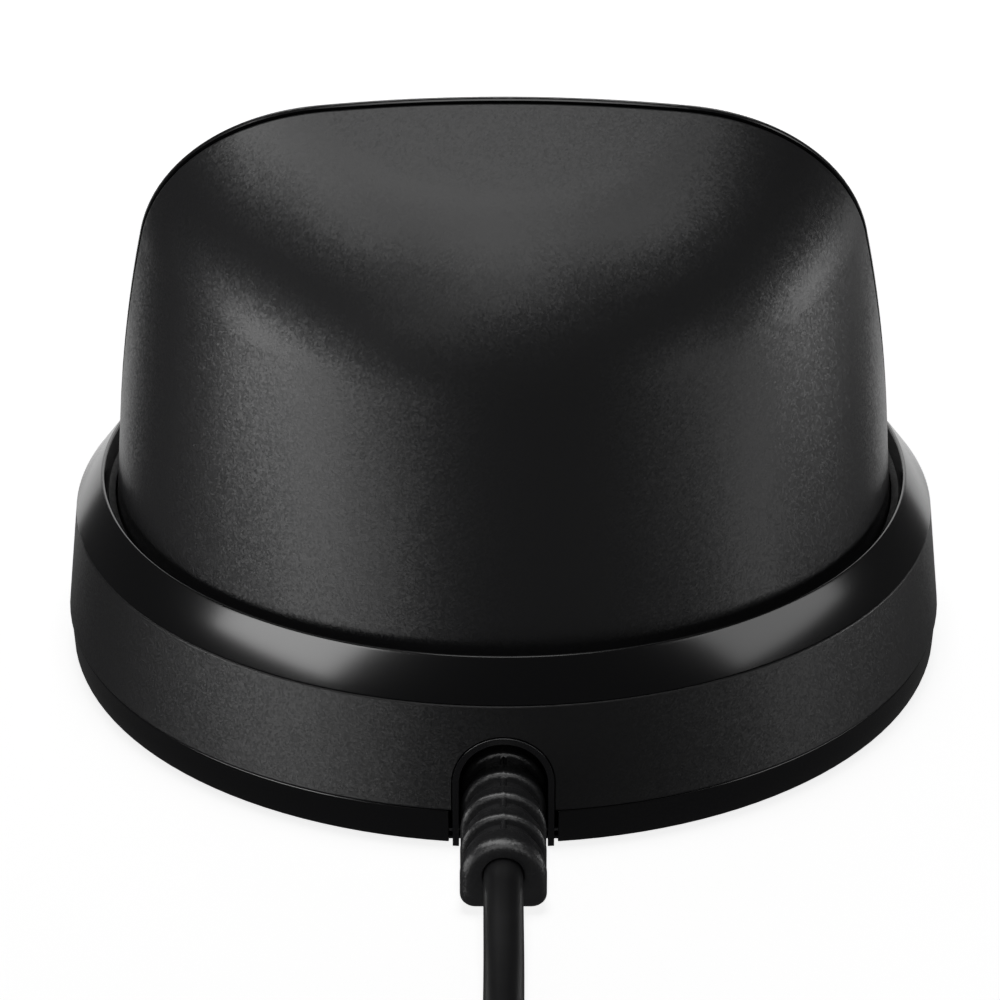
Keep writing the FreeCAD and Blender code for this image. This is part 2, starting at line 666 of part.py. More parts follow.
def plug_contacts():
    low_z = TONGUE_BOTTOM_Z + TONGUE_T
    strips = []
    for x, reach in ((-3.5, 9.6), (-1.0, 8.6), (1.0, 8.6), (3.5, 9.6)):
        low = (TAIL_X + x - 0.5, BODY_FRONT_Y - reach, low_z)
        strips.append(block(low, (TAIL_X + x + 0.5, BODY_FRONT_Y, low_z + 0.15)))
    return Part.makeCompound(strips)


# ---------------------------------------------------------------- inside the base

def weight_plate():
    plate = disc(PLATE_R, PLATE_T, (0, 0, PLATE_BOTTOM_Z))
    for x, y, z in base_boss_places():
        plate = plate.cut(disc(SCREW_R + 0.25, 5.0, (x, y, 0)))
    plate = plate.cut(block((-7.6, -40, 0), (7.6, -15.0, 6)))
    return plate


def head_frame():
    plate = disc(FRAME_R, FRAME_T, (0, 0, FRAME_Z))
    for x, y, z in base_boss_places():
        plate = plate.cut(disc(BASE_BOSS_R + 0.5, 9.0, (x, y, FRAME_Z - 2)))
    plate = plate.cut(block((-8.0, -17.0, 0), (8.0, -9.5, 12)))
    plate = plate.cut(lead_notch(COLLAR_HALF + 0.5, NOTCH_TOP_Z + 0.5, 0.0, -40.0, COLLAR_BACK_Y + 0.6))
    for x, y in HEAD_BOSSES + FRAME_SCREWS:
        plate = plate.cut(disc(SCREW_R + 0.15, 4.0, (x, y, FRAME_Z - 1)))
    plate = plate.cut(disc(1.7, 4.0, (0, LED_Y, FRAME_Z - 1)))
    post_z = BOARD_Z + BOARD_T
    for x, y in BOARD_SCREWS:
        plate = plate.fuse(disc(BOARD_POST_R, FRAME_Z + 0.2 - post_z, (x, y, post_z)))
        plate = plate.cut(disc(SMALL_SCREW_R, 3.0, (x, y, post_z - 0.1)))
    return plate.removeSplitter()


def upright_edges(solid):
    return [e for e in solid.Edges if abs(e.tangentAt(e.FirstParameter).z) > 0.99]


def main_board():
    board = block((-BOARD_X, BOARD_Y[0], BOARD_Z), (BOARD_X, BOARD_Y[1], BOARD_Z + BOARD_T))
    board = board.makeFillet(1.5, upright_edges(board))
    for x, y in BOARD_SCREWS:
        board = board.cut(disc(SMALL_SCREW_R + 0.15, 3.0, (x, y, BOARD_Z - 1)))
    return board


def board_part(x, y, width, depth, height):
    """A rectangular component that stands on the board."""
    top = BOARD_Z + BOARD_T
    return block((x - width / 2, y - depth / 2, top), (x + width / 2, y + depth / 2, top + height))


def charge_controller():
    chip = board_part(0.0, 5.0, 5.0, 5.0, 0.85)
    mark = disc(0.3, 0.2, (-1.8, 6.8, BOARD_Z + BOARD_T + 0.8))
    return chip.cut(mark)


def power_inductor():
    core = board_part(-8.5, 6.0, 5.4, 5.2, 1.9)
    return core.makeFillet(0.6, upright_edges(core))


def resonance_capacitors():
    return Part.makeCompound([board_part(8.5, y, 3.2, 1.6, 1.6) for y in (1.5, 4.3, 7.1, 9.9)])


def status_led():
    return board_part(0.0, LED_Y, 1.6, 0.8, 0.6)


def lead_connector():
    body = board_part(0.0, -5.2, 7.4, 4.0, 2.0)
    for x in (-2.4, -0.8, 0.8, 2.4):
        body = body.cut(block((x - 0.5, -8.0, 6.45), (x + 0.5, -5.6, 7.45)))
    return body


def coil_connector():
    body = board_part(8.0, -4.9, 4.6, 3.4, 2.0)
    for x in (7.2, 8.8):
        body = body.cut(block((x - 0.5, -8.0, 6.45), (x + 0.5, -5.2, 7.45)))
    return body


def lead_inner():
    """The jacket's last stretch, inside the base."""
    return disc(LEAD_R, JACKET_END_Y - RELIEF_INNER_Y, (0, RELIEF_INNER_Y, LEAD_EXIT_Z), Vector(0, 1, 0))


def lead_cores():
    """Four insulated conductors from the jacket's end to the board connector."""
    wires = []
    for x, z in ((-0.45, 0.45), (0.45, 0.45), (-0.45, -0.45), (0.45, -0.45)):
        side = 0.8 if x > 0 else -0.8
        spread = side if z > 0 else 3 * side
        wires.append(tube([
            (x, JACKET_END_Y, LEAD_EXIT_Z + z),
            (x, -20.4, LEAD_EXIT_Z + z),
            (0.6 * spread, -15.6, 5.1 + 0.5 * z),
            (spread, -11.0, 6.95),
            (spread, -5.65, 6.95),
        ], CORE_R))
    return Part.makeCompound(wires)


def coil_leads():
    """Two insulated wires from the coil, through the frame, to the board."""
    wires = []
    for x, end_x in ((-0.55, 7.2), (0.55, 8.8)):
        out = on_face(x, PAD_T - 9.5, PANEL_BACK_S - SHIELD_THICK - 0.1)
        back = on_face(x, PAD_T - 9.5, PANEL_BACK_S - SHIELD_THICK - 3.4)
        wires.append(tube([
            tuple(out),
            tuple(back),
            (x + 0.6, -12.6, 17.0),
            (x + 2.6, -13.4, 11.5),
            (end_x - 2.3, -12.2, 7.7),
            (end_x - 0.2, -9.0, 6.95),
            (end_x, -5.25, 6.95),
        ], 0.42))
    return Part.makeCompound(wires)


def lead_clamp():
    """Bar that presses a saddle on the jacket, screwed to two bosses on the cover."""
    half_x, half_y, top_z = CLAMP_SIZE[0] / 2, CLAMP_SIZE[1] / 2, CLAMP_Z + CLAMP_SIZE[2]
    bar = block((-half_x, CLAMP_Y - half_y, CLAMP_Z), (half_x, CLAMP_Y + half_y, top_z))
    for x in (-CLAMP_SCREW_X, CLAMP_SCREW_X):
        bar = bar.cut(disc(SMALL_SCREW_R + 0.25, 3.0, (x, CLAMP_Y, CLAMP_Z - 1)))
    pad = block((-2.4, CLAMP_Y - half_y, 4.1), (2.4, CLAMP_Y + half_y, CLAMP_Z + 0.1))
    saddle = disc(LEAD_R, 4.0, (0, CLAMP_Y - 2.0, LEAD_EXIT_Z), Vector(0, 1, 0))
    return bar.fuse(pad).cut(saddle).removeSplitter()


def small_screw(at, axis, length):
    return screw(at, axis, length, SMALL_SCREW_R, SMALL_HEAD_R, SMALL_HEAD_H)


def clamp_screws():
    top_z = CLAMP_Z + CLAMP_SIZE[2]
    places = [(-CLAMP_SCREW_X, CLAMP_Y, top_z), (CLAMP_SCREW_X, CLAMP_Y, top_z)]
    return Part.makeCompound([small_screw(place, -UP, 3.2) for place in places])


def base_screws():
    places = [(x, y, SCREW_SEAT_Z) for x, y, z in base_boss_places()]
    return Part.makeCompound([screw(place, UP, 5.4, head_h=0.75) for place in places])


def head_screws():
    return Part.makeCompound([screw((x, y, FRAME_Z), UP, 6.4) for x, y in HEAD_BOSSES])


def frame_screws():
    return Part.makeCompound([screw((x, y, FRAME_Z), UP, 3.4) for x, y in FRAME_SCREWS])


def board_screws():
    return Part.makeCompound([small_screw((x, y, BOARD_Z), UP, 3.4) for x, y in BOARD_SCREWS])


NODES = [
    base_housing, bezel_ring, bottom_cover, rubber_foot, cable_collar,
    rear_shell, front_cradle, charge_pad, led_light_pipe, strain_relief,
    lead_tube, lead_coil, lead_tail, plug_body, plug_shell, plug_tongue, plug_contacts,
    charging_coil, ferrite_disc, alignment_magnet, magnet_shield, coil_bracket,
    coil_bracket_screws, coil_leads, weight_plate, head_frame, main_board,
    charge_controller, power_inductor, resonance_capacitors, status_led,
    lead_connector, coil_connector, lead_inner, lead_cores, lead_clamp,
    clamp_screws, base_screws, head_screws, frame_screws, board_screws,
]

os.makedirs("parts", exist_ok=True)
for make in NODES:
    save(make.__name__, make())
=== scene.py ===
import math
import bmesh
import bpy
from mathutils import Matrix, Vector


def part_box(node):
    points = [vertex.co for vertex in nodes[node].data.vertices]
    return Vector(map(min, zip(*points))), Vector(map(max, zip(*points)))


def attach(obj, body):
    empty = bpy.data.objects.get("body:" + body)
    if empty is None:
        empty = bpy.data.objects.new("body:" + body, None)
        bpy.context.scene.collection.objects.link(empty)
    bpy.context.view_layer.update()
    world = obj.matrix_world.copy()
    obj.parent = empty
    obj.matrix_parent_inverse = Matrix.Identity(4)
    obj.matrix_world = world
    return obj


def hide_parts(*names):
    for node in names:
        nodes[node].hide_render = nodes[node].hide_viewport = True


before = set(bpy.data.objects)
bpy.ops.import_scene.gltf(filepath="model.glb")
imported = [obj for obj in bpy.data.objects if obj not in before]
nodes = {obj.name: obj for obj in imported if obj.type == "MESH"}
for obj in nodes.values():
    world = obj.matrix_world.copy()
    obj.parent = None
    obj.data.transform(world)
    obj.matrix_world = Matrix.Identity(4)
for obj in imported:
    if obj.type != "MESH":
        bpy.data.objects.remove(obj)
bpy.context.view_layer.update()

scene = bpy.context.scene

# ---- Camera -------------------------------------------------------------------------
# A long lens behind the dock and a little above it, aimed at the middle of the base.
MM = 0.001
CAMERA_AT = Vector((0.0, -298.9, 165.3)) * MM
CAMERA_TILT = math.radians(62.68)
CAMERA_TURN = math.radians(0.053)

camera = bpy.data.objects.new("camera", bpy.data.cameras.new("camera"))
camera.data.lens = 155.4
camera.data.sensor_width = 36.0
camera.data.clip_start = 0.01
camera.location = CAMERA_AT
camera.rotation_euler = (CAMERA_TILT, 0.0, CAMERA_TURN)
scene.collection.objects.link(camera)
scene.camera = camera

# ---- Lead ---------------------------------------------------------------------------
# 0.91 m of 2.8 mm round cable in an extruded TPE jacket. It leaves the relief level,
# drops to the table and runs straight out; the rest is wound into a neat round coil,
# four turns wide and two high, and the plug lies in front of it.
LEAD_D = 2.8
LEAD_EXIT = (0.0, -42.5, 3.2)
LEAD_ROUTE = [(0.0, -41.0, 3.2), (0.0, -46.0, 3.2), (0.05, -52.0, 1.95), (0.0, -59.0, 1.4),
              (0.2, -64.5, 1.4), (2.0, -71.2, 1.4), (6.0, -76.9, 1.4), (9.2, -81.2, 1.4)]
TAIL_ROUTE = [(13.4, -91.5, 4.2), (13.9, -97.0, 4.15), (13.8, -102.0, 3.8), (13.8, -108.0, 3.8)]
COIL_MIDDLE = (-9.5, -93.0)
COIL_WIDE_R = 22.9
COIL_TIGHT_R = 11.5
TURN_PITCH = 2.85
POINTS_A_TURN = 24
COIL_POINTS = 194
FIRST_ANGLE = 17.0
TURNS_INWARD = 4.1
OUTWARD_FROM = 4.2
CLIMB_FROM = 3.7
CLIMB_TURNS = 0.55
LOWER_Z = 1.4
UPPER_Z = 4.2

turns = []
for step in range(COIL_POINTS):
    turn = step / POINTS_A_TURN
    inward = COIL_WIDE_R - TURN_PITCH * turn
    outward = COIL_TIGHT_R + TURN_PITCH * (turn - OUTWARD_FROM)
    radius = max(inward if turn < TURNS_INWARD else outward, COIL_TIGHT_R)
    climb = min(max((turn - CLIMB_FROM) / CLIMB_TURNS, 0.0), 1.0)
    angle = math.radians(FIRST_ANGLE) - 2 * math.pi * turn
    turns.append((COIL_MIDDLE[0] + radius * math.cos(angle),
                  COIL_MIDDLE[1] + radius * math.sin(angle),
                  LOWER_Z + (UPPER_Z - LOWER_Z) * climb))

route = LEAD_ROUTE + turns + TAIL_ROUTE
lead_curve = bpy.data.curves.new("lead", "CURVE")
lead_curve.dimensions = "3D"
lead_curve.bevel_depth = LEAD_D / 2 * MM
lead_curve.bevel_resolution = 8
lead_curve.use_fill_caps = True
spline = lead_curve.splines.new("NURBS")
spline.points.add(len(route) - 1)
for point, (x, y, z) in zip(spline.points, route):
    point.co = (x * MM, y * MM, z * MM, 1.0)
spline.order_u = 3
spline.use_endpoint_u = True
spline.resolution_u = 6


def linear(colour):
    """An sRGB hex colour as the linear colour that a shader socket holds."""
    channels = [int(colour[i:i + 2], 16) / 255 for i in (0, 2, 4)]
    return [c / 12.92 if c <= 0.04045 else ((c + 0.055) / 1.055) ** 2.4 for c in channels] + [1.0]


def add(tree, kind, settings=(), links=()):
    """Adds a node, sets its properties and sockets, and links other sockets to its inputs."""
    made = tree.nodes.new(kind)
    for key, value in dict(settings).items():
        if isinstance(key, str) and hasattr(made, key):
            setattr(made, key, value)
        else:
            made.inputs[key].default_value = value
    for key, source in dict(links).items():
        tree.links.new(source, made.inputs[key])
    return made


def finish_of(name, colour, roughness, settings=()):
    """A material; returns it with its node tree, its shader and Object coordinates."""
    made = bpy.data.materials.new(name)
    made.use_nodes = True
    shader = made.node_tree.nodes["Principled BSDF"]
    shader.inputs["Base Color"].default_value = linear(colour)
    shader.inputs["Roughness"].default_value = roughness
    for key, value in dict(settings).items():
        shader.inputs[key].default_value = value
    return made, made.node_tree, shader, add(made.node_tree, "ShaderNodeTexCoord").outputs["Object"]


def grain_of(tree, shader, height, depth_mm):
    """Gives a surface the relief of a height pattern, at a depth in millimetres."""
    bump = add(tree, "ShaderNodeBump", {"Strength": 1.0, "Distance": depth_mm * MM}, {"Height": height})
    tree.links.new(bump.outputs["Normal"], shader.inputs["Normal"])


def gloss_between(tree, shader, pattern, low, high):
    """Lets a pattern vary a surface's roughness between two values."""
    spread = add(tree, "ShaderNodeMapRange", {"To Min": low, "To Max": high}, {"Value": pattern})
    tree.links.new(spread.outputs["Result"], shader.inputs["Roughness"])


# Black TPE from an extrusion die: an even satin with a faint waviness along the jacket.
jacket_tpe, tree, shader, at = finish_of("extruded_tpe", "101011", 0.34)
waviness = add(tree, "ShaderNodeTexNoise", {"Scale": 700.0, "Detail": 3.0}, {"Vector": at})
gloss_between(tree, shader, waviness.outputs["Fac"], 0.29, 0.4)
grain_of(tree, shader, waviness.outputs["Fac"], 0.012)
lead_curve.materials.append(jacket_tpe)

lead = bpy.data.objects.new("lead", lead_curve)
scene.collection.objects.link(lead)
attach(lead, "root")
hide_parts("lead_tube", "lead_coil", "lead_tail")

# ---- Floor and light ----------------------------------------------------------------
# A plain white table that glows softly so that it stays white all over, in a studio of
# large soft panels. Satin, polished and ribbed pieces each get panels of their own.
FLOOR_SIDE = 4.0
floor_mesh = bmesh.new()
bmesh.ops.create_grid(floor_mesh, x_segments=1, y_segments=1, size=FLOOR_SIDE / 2)
floor_data = bpy.data.meshes.new("floor")
floor_mesh.to_mesh(floor_data)
floor_mesh.free()
floor = bpy.data.objects.new("floor", floor_data)
scene.collection.objects.link(floor)
white_board, tree, shader, at = finish_of("white_board", "f4f4f4", 0.9, {
    "Specular IOR Level": 0.0, "Emission Color": linear("ffffff"), "Emission Strength": 0.85})
floor_data.materials.append(white_board)
floor.location.z = -0.00005
floor.visible_glossy = False
floor.visible_shadow = False

satin_pieces = bpy.data.collections.new("satin_pieces")
polished_pieces = bpy.data.collections.new("polished_pieces")
ribbed_pieces = bpy.data.collections.new("ribbed_pieces")
satin_pieces.objects.link(lead)


def soft_panel(place, aim, wide, tall, radiance, lit):
    """A rectangular lamp; radiance sets how bright it looks from the dock."""
    lamp = bpy.data.lights.new("soft_panel", "AREA")
    lamp.shape = "RECTANGLE"
    lamp.size = wide
    lamp.size_y = tall
    lamp.energy = radiance * wide * tall * math.pi
    panel = bpy.data.objects.new("soft_panel", lamp)
    panel.location = place
    panel.rotation_euler = (aim - place).to_track_quat("-Z", "Y").to_euler()
    if lit:
        panel.light_linking.receiver_collection = lit
    scene.collection.objects.link(panel)


# Panels close round the dock: azimuth from the lead's side, lower and upper edge and
# width in millimetres, radiance. The last two stand behind it and light its outline.
NEAR = 160 * MM
for azimuth, low, high, wide, radiance, lit in (
        (-52, -45, -12, 56, 3.1, satin_pieces), (-34, -45, -12, 56, 2.4, satin_pieces),
        (70, -45, -12, 56, 1.8, satin_pieces), (-70, -12, 20, 56, 7.0, satin_pieces),
        (-52, -12, 20, 56, 3.2, satin_pieces), (50, -12, 20, 56, 1.1, satin_pieces),
        (90, -12, 20, 56, 5.0, satin_pieces), (112, -12, 20, 56, 0.9, satin_pieces),
        (0, 20, 90, 160, 1.5, ribbed_pieces), (-155, -60, 60, 110, 0.9, None),
        (155, -60, 60, 110, 0.9, None)):
    turn = math.radians(azimuth)
    middle = (low + high) / 2 * MM
    place = Vector((math.sin(turn) * NEAR, -math.cos(turn) * NEAR, middle))
    aim = Vector((0, 0, min(middle, 5 * MM)))
    soft_panel(place, aim, wide * MM, (high - low) * MM, radiance, lit)

# Panels over the dock: one for every piece, then those for the satin pieces, one at each
# side and one behind for the polished ones, and one for the ribbed relief and its liner.
# Azimuth, elevation, width, height and radiance.
FAR = 500 * MM
OVER = Vector((0, 0, 30 * MM))
for azimuth, elevation, wide, tall, radiance, lit in (
        (0, 88, 200, 200, 2.5, None), (-90, 68, 200, 200, 2.4, satin_pieces),
        (90, 68, 200, 200, 1.1, satin_pieces),
        (0, 62, 200, 200, 2.3, satin_pieces), (-50, 52, 200, 200, 2.1, satin_pieces),
        (50, 52, 200, 200, 1.9, satin_pieces), (0, 40, 200, 200, 1.5, satin_pieces),
        (-95, 45, 200, 200, 3.7, satin_pieces), (-20, 22, 200, 200, 0.7, satin_pieces),
        (-62, 33, 330, 300, 5.4, polished_pieces), (79, 28, 360, 300, 2.2, polished_pieces),
        (180, 32, 500, 320, 1.6, polished_pieces), (-20, 66, 600, 260, 3.2, ribbed_pieces)):
    turn, rise = math.radians(azimuth), math.radians(elevation)
    away = Vector((math.sin(turn) * math.cos(rise), -math.cos(turn) * math.cos(rise), math.sin(rise)))
    soft_panel(away * FAR + OVER, OVER, wide * MM, tall * MM, radiance, lit)

studio = bpy.data.worlds.new("studio")
studio.use_nodes = True
studio.node_tree.nodes["Background"].inputs["Color"].default_value = linear("ffffff")
studio.node_tree.nodes["Background"].inputs["Strength"].default_value = 0.05
scene.world = studio
scene.view_settings.view_transform = "Standard"

# ---- Strain relief ------------------------------------------------------------------
# Black TPE moulded over the lead in a two-part tool. The nose is a smooth block; behind
# it, cut-away rings on both sides of a thin spine let it bend, and each rib rolls over
# towards the nose. The tool's parting line is a fine raised line along the top.
RELIEF_HALF = 3.07
RELIEF_TOP_Z = 6.0
RELIEF_BOTTOM_Z = 0.36
RELIEF_CORNER = 1.0
RELIEF_FRONT_Y = -42.5
NOSE_ROUND = 0.75
HOLE_R = 1.46
HOLE_DEPTH = 1.5
RIB_FRONTS = (-30.3, -33.2, -36.1, -39.0)
GROOVE_WIDTH = 1.05
SPINE_HALF = 0.3
SPINE_DROP = 0.38
SOLE_HEIGHT = 1.1
FLANGE_BACK_Y = -25.02
FLANGE_FRONT_Y = -26.6
FLANGE_OUT = 0.55
PARTING_HEIGHT = 0.07
PARTING_END_Y = -41.5
SECTION_POINTS = 120
NOSE_STEPS = 7
# How a rib rolls over into the groove before it, and how the groove's floor climbs out:
# distance along the lead from the edge, and depth below the outline.
RIB_ROLL = ((0.7, 0.08), (0.45, 0.01), (0.32, 0.0), (0.2, 0.03), (0.1, 0.1), (0.03, 0.22),
            (0.0, 0.4), (0.0, 0.7))
GROOVE_RISE = ((0.0, 0.7), (0.06, 0.45), (0.2, 0.26), (0.45, 0.18))
# The hole's rounded mouth and its wall: radius beyond the hole's, and depth from the nose.
HOLE_RINGS = ((0.12, 0.0), (0.03, 0.03), (0.0, 0.12), (0.0, HOLE_DEPTH))

relief_mesh = bmesh.new()
centre_z = RELIEF_TOP_Z - RELIEF_HALF
bmesh.ops.create_circle(relief_mesh, segments=SECTION_POINTS, radius=1.0)
upright = Matrix.Rotation(math.radians(90), 3, "X")
bmesh.ops.rotate(relief_mesh, verts=relief_mesh.verts, matrix=upright)
first_loop = sorted(relief_mesh.verts, key=lambda v: math.atan2(v.co.z, v.co.x))
directions = [v.co.copy() for v in first_loop]


def section_point(direction, shrink, rise):
    """A point of the relief's outline in a direction from its middle: round top, flat sole."""
    half = RELIEF_HALF - shrink
    if direction.z >= 0:
        return half * direction.x, centre_z + half * direction.z + rise
    depth = centre_z - RELIEF_BOTTOM_Z - max(shrink, 0.0)
    reach = min(half / max(abs(direction.x), 1e-6), depth / max(-direction.z, 1e-6))
    x, z = reach * direction.x, reach * direction.z
    over_x, over_z = abs(x) - (half - RELIEF_CORNER), -z - (depth - RELIEF_CORNER)
    if over_x > 0 and over_z > 0:
        pull = RELIEF_CORNER / math.hypot(over_x, over_z)
        x = math.copysign(half - RELIEF_CORNER + over_x * pull, x)
        z = -(depth - RELIEF_CORNER + over_z * pull)
    return x, centre_z + z


def place_ring(ring, y, shrink, spine):
    """Puts a ring at depth y, drawn in by `shrink` except on the spine and near the sole."""
    for vert, direction in zip(ring, directions):
        own = shrink
        if spine and centre_z + RELIEF_HALF * direction.z < RELIEF_BOTTOM_Z + SOLE_HEIGHT:
            own = 0.0
        if spine and direction.z > 0 and abs(direction.x) * RELIEF_HALF < SPINE_HALF:
            own = min(shrink, SPINE_DROP)
        on_line = direction.z > 0.9999 and y > PARTING_END_Y
        x, z = section_point(direction, own, PARTING_HEIGHT if on_line else 0.0)
        vert.co = Vector((x, y, z))


def ring_of(y, shrink, spine=True):
    """Extrudes the open end into one more ring."""
    rim = [e for e in relief_mesh.edges if len(e.link_faces) < 2 and all(v in end for v in e.verts)]
    made = bmesh.ops.extrude_edge_only(relief_mesh, edges=rim)["geom"]
    fresh = [part for part in made if isinstance(part, bmesh.types.BMVert)]
    fresh.sort(key=lambda v: math.atan2(v.co.z - centre_z, v.co.x))
    end.clear()
    end.update(fresh)
    place_ring(fresh, y, shrink, spine)


end = set(first_loop)
place_ring(first_loop, FLANGE_BACK_Y, -FLANGE_OUT, False)
ring_of(FLANGE_FRONT_Y, -FLANGE_OUT, False)
ring_of(FLANGE_FRONT_Y - 0.02, 0.0)
for front in RIB_FRONTS:
    for back, drop in RIB_ROLL:
        ring_of(front + back, drop)
    for on, drop in GROOVE_RISE:
        ring_of(front - GROOVE_WIDTH - on, drop)
for step in range(NOSE_STEPS + 1):
    lean = math.pi / 2 * step / NOSE_STEPS
    behind, inside = NOSE_ROUND * (1 - math.sin(lean)), NOSE_ROUND * (1 - math.cos(lean))
    ring_of(RELIEF_FRONT_Y + behind, inside, False)
for wider, deep in HOLE_RINGS:
    radius, y = HOLE_R + wider, RELIEF_FRONT_Y + deep
    ring_of(y, 0.0, False)
    for vert in end:
        outward = Vector((vert.co.x, 0.0, vert.co.z - centre_z)).normalized()
        vert.co = Vector((outward.x * radius, y, LEAD_EXIT[2] + outward.z * radius))
bmesh.ops.holes_fill(relief_mesh, edges=[e for e in relief_mesh.edges if e.is_boundary], sides=0)
bmesh.ops.scale(relief_mesh, verts=relief_mesh.verts, vec=(MM, MM, MM))
bmesh.ops.recalc_face_normals(relief_mesh, faces=relief_mesh.faces)


def shade(bm, sharp):
    """Smooth shading, except across edges sharper than an angle in degrees."""
    for face in bm.faces:
        face.smooth = True
    for edge in bm.edges:
        edge.smooth = edge.calc_face_angle(0.0) < math.radians(sharp)


def piece_of(name, bm, material, stands_for, group):
    """Makes a piece that rides on the dock from a bmesh, in place of a CAD node."""
    mesh = bpy.data.meshes.new(name)
    bm.to_mesh(mesh)
    bm.free()
    for stale in [layer for layer in mesh.attributes if layer.name == "custom_normal"]:
        mesh.attributes.remove(stale)
    mesh.materials.clear()
    mesh.materials.append(material)
    piece = bpy.data.objects.new(name, mesh)
    scene.collection.objects.link(piece)
    group.objects.link(piece)
    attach(piece, "root")
    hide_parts(stands_for)
    return piece


def facets_of(tree, shader, at, scale, tilt):
    """Fine moulded grain: each tiny cell of the surface leans its own way by up to `tilt`."""
    middle = (0.5, 0.5, 0.5)
    cells = add(tree, "ShaderNodeTexVoronoi", {"Scale": scale}, {"Vector": at})
    lean = add(tree, "ShaderNodeVectorMath", {"operation": "SUBTRACT", 1: middle}, {0: cells.outputs["Color"]})
    small = add(tree, "ShaderNodeVectorMath", {"operation": "SCALE", "Scale": tilt},
                {0: lean.outputs["Vector"]})
    facing = add(tree, "ShaderNodeNewGeometry")
    leaned = add(tree, "ShaderNodeVectorMath", {"operation": "ADD"},
                 {0: facing.outputs["Normal"], 1: small.outputs["Vector"]})
    unit = add(tree, "ShaderNodeVectorMath", {"operation": "NORMALIZE"}, {0: leaned.outputs["Vector"]})
    tree.links.new(unit.outputs["Vector"], shader.inputs["Normal"])


# Moulded black TPE: dull, rubbery, with a fine irregular grain about 0.13 mm across.
relief_tpe, tree, shader, at = finish_of("moulded_tpe", "111112", 0.4)
grain = add(tree, "ShaderNodeTexNoise", {"Scale": 4600.0, "Detail": 3.0, "Roughness": 0.7}, {"Vector": at})
gloss_between(tree, shader, grain.outputs["Fac"], 0.26, 0.42)
facets_of(tree, shader, at, 8000.0, 0.16)

shade(relief_mesh, 60)
strain_relief = piece_of("ribbed_relief", relief_mesh, relief_tpe,
                         "strain_relief", satin_pieces)
ribbed_pieces.objects.link(strain_relief)

# ---- Base housing -------------------------------------------------------------------
# Band and deck in one injection moulding of black ABS. The tool is spark-eroded coarse,
# which gives a close grain about 0.13 mm across; half of the deck is under the head.
def merged(node):
    """A CAD piece's mesh with its doubles merged and its flat faces made whole."""
    bm = bmesh.new()
    bm.from_mesh(nodes[node].data)
    bmesh.ops.remove_doubles(bm, verts=bm.verts, dist=0.000002)
    bmesh.ops.dissolve_limit(bm, angle_limit=math.radians(0.4), verts=bm.verts, edges=bm.edges)
    shade(bm, 30)
    return bm


def break_edges(piece, width_mm):
    """Rounds a piece's sharp edges by a small width, as a mould's corners are."""
    bevel = piece.modifiers.new("edge_break", "BEVEL")
    bevel.width = width_mm * MM
    bevel.segments = 3
    bevel.limit_method = "ANGLE"
    bevel.angle_limit = math.radians(34)
    bevel.use_clamp_overlap = True


eroded_abs, tree, shader, at = finish_of("spark_eroded_abs", "0b0b0c", 0.42)
grain = add(tree, "ShaderNodeTexNoise", {"Scale": 4200.0, "Detail": 3.0, "Roughness": 0.75}, {"Vector": at})
gloss_between(tree, shader, grain.outputs["Fac"], 0.34, 0.48)
facets_of(tree, shader, at, 7600.0, 0.12)

housing = piece_of("grained_housing", merged("base_housing"), eroded_abs,
                   "base_housing", satin_pieces)
break_edges(housing, 0.12)

# ---- Bezel ring ---------------------------------------------------------------------
# Ring of polished black polycarbonate, clipped on top of the band. Its bevel is flat and
# bright, its inner lip is a small round that catches light, and inside it slopes down.
BEVEL_FOOT = (33.13, 11.57)
BEVEL_HEAD = (31.2, 14.2)
LIP_TOP = (30.98, 14.385)
INNER_SLOPE = (30.62, 13.5)
RING_SKIRT = (30.58, 12.93)
RING_STEP_R = 31.94
RING_FOOT_Z = 11.56
ring_mesh = bmesh.new()
outline = [(33.09, RING_FOOT_Z), BEVEL_FOOT, (33.12, 11.62), BEVEL_HEAD, (31.13, 14.3), (31.06, 14.36),
           LIP_TOP, (30.9, 14.375), (30.83, 14.31), (30.79, 14.2), INNER_SLOPE, RING_SKIRT,
           (RING_STEP_R, RING_SKIRT[1]), (RING_STEP_R, RING_FOOT_Z)]
corners = [ring_mesh.verts.new((r * MM, 0.0, z * MM)) for r, z in outline]
sides = [ring_mesh.edges.new(pair) for pair in zip(corners, corners[1:] + corners[:1])]
bmesh.ops.spin(ring_mesh, geom=corners + sides, cent=(0, 0, 0), axis=(0, 0, 1), angle=2 * math.pi, steps=240,
               use_merge=True)
bmesh.ops.remove_doubles(ring_mesh, verts=ring_mesh.verts, dist=0.0000005)
bmesh.ops.recalc_face_normals(ring_mesh, faces=ring_mesh.faces)
shade(ring_mesh, 32)

polished_pc, tree, shader, at = finish_of("polished_polycarbonate", "060607", 0.2, {"IOR": 1.58})
flow = add(tree, "ShaderNodeTexNoise", {"Scale": 160.0, "Detail": 1.0}, {"Vector": at})
grain_of(tree, shader, flow.outputs["Fac"], 0.003)

bezel = piece_of("polished_bezel", ring_mesh, polished_pc, "bezel_ring", polished_pieces)

# ---- Bottom cover and foot ----------------------------------------------------------
# The cover closes the base from below and shows as a polished lower edge; it has a slot
# for the relief. A silicone foot is glued into its recess.
cover = piece_of("polished_cover", merged("bottom_cover"), polished_pc, "bottom_cover",
                 polished_pieces)
break_edges(cover, 0.15)


def dress(node, material, group=satin_pieces):
    """Puts a material in all slots of a CAD node, and lights it as its finish needs."""
    for slot in nodes[node].material_slots:
        slot.material = material
    group.objects.link(nodes[node])


